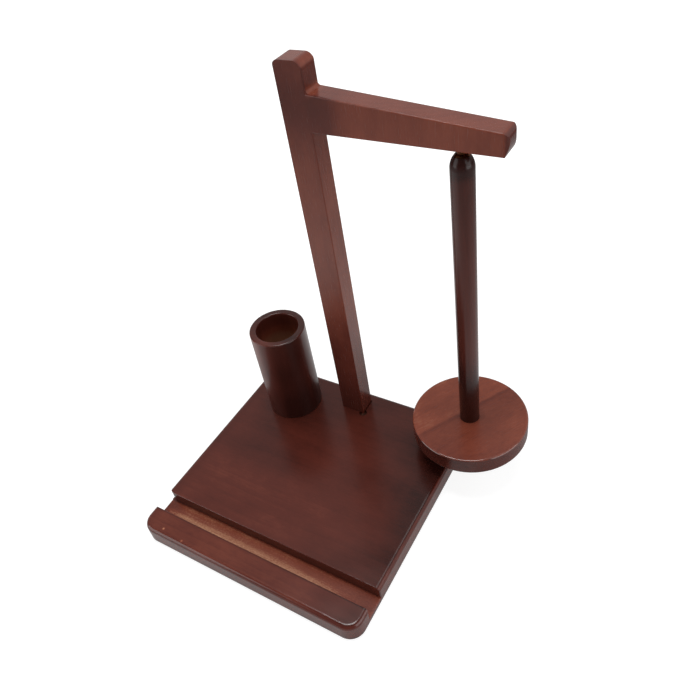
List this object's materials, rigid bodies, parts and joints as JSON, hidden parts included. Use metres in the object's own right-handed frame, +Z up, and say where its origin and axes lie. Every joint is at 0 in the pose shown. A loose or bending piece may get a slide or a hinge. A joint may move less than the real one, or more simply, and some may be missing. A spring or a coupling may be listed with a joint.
{
  "type": "yarn ball holder",
  "caption": "Wooden yarn ball holder: square base with a phone groove and a tool cup, and a post and arm from which a spindle with a disc hangs by a magnet, turning freely.",
  "frame": {"origin": "on the table, under the middle of the base board", "axes": "+X right, the way the arm reaches; +Y back, from the groove to the post; +Z up"},
  "size_m": [0.2514, 0.2289, 0.3269],
  "materials": {
    "stained_base": "dark red-brown stain, satin varnish",
    "stained_board": "dark red-brown stain, satin varnish",
    "stained_cup": "dark red-brown stain, satin varnish",
    "stained_rod": "dark red-brown stain, glossier varnish",
    "stained_disc": "dark red-brown stain, satin varnish",
    "brass": "aged dark",
    "nylon": "plain",
    "bearing_steel": "polished",
    "magnet": "nickel plated",
    "zinc_steel": "zinc plated",
    "foot_rubber": "matte"
  },
  "bodies": {
    "stand": {"base_board": "stained_base", "post_and_arm": "stained_board", "tool_cup": "stained_cup", "arm_magnet": "magnet", "magnet_pot": "zinc_steel", "post_screw_left": "zinc_steel", "post_screw_right": "zinc_steel", "cup_screw": "zinc_steel", "foot_pad_front_left": "foot_rubber", "foot_pad_front_right": "foot_rubber", "foot_pad_back_left": "foot_rubber", "foot_pad_back_right": "foot_rubber"},
    "ball": {"pivot_ball": "bearing_steel"},
    "seat": {"ball_seat": "nylon"},
    "cap": {"nose_cap": "brass"},
    "spindle": {"spindle_rod": "stained_rod", "yarn_disc": "stained_disc", "disc_screw": "zinc_steel"}
  },
  "joints": [
    {"name": "spindle_pull_off", "type": "slide", "parent": "stand", "child": "ball", "axis": [0, 0, -1], "range_m": [0, 0.01]},
    {"name": "spindle_side_swing", "type": "hinge", "parent": "ball", "child": "seat", "pos_m": [0.10635, 0.08385, 0.27925], "axis": [0, 1, 0], "range_deg": [-15, 12]},
    {"name": "spindle_fore_swing", "type": "hinge", "parent": "seat", "child": "cap", "pos_m": [0.10635, 0.08385, 0.27925], "axis": [1, 0, 0], "range_deg": [-15, 15]},
    {"name": "spindle_spin", "type": "hinge", "parent": "cap", "child": "spindle", "pos_m": [0.10635, 0.08385, 0.27925], "axis": [0, 0, 1], "continuous": true}
  ]
}
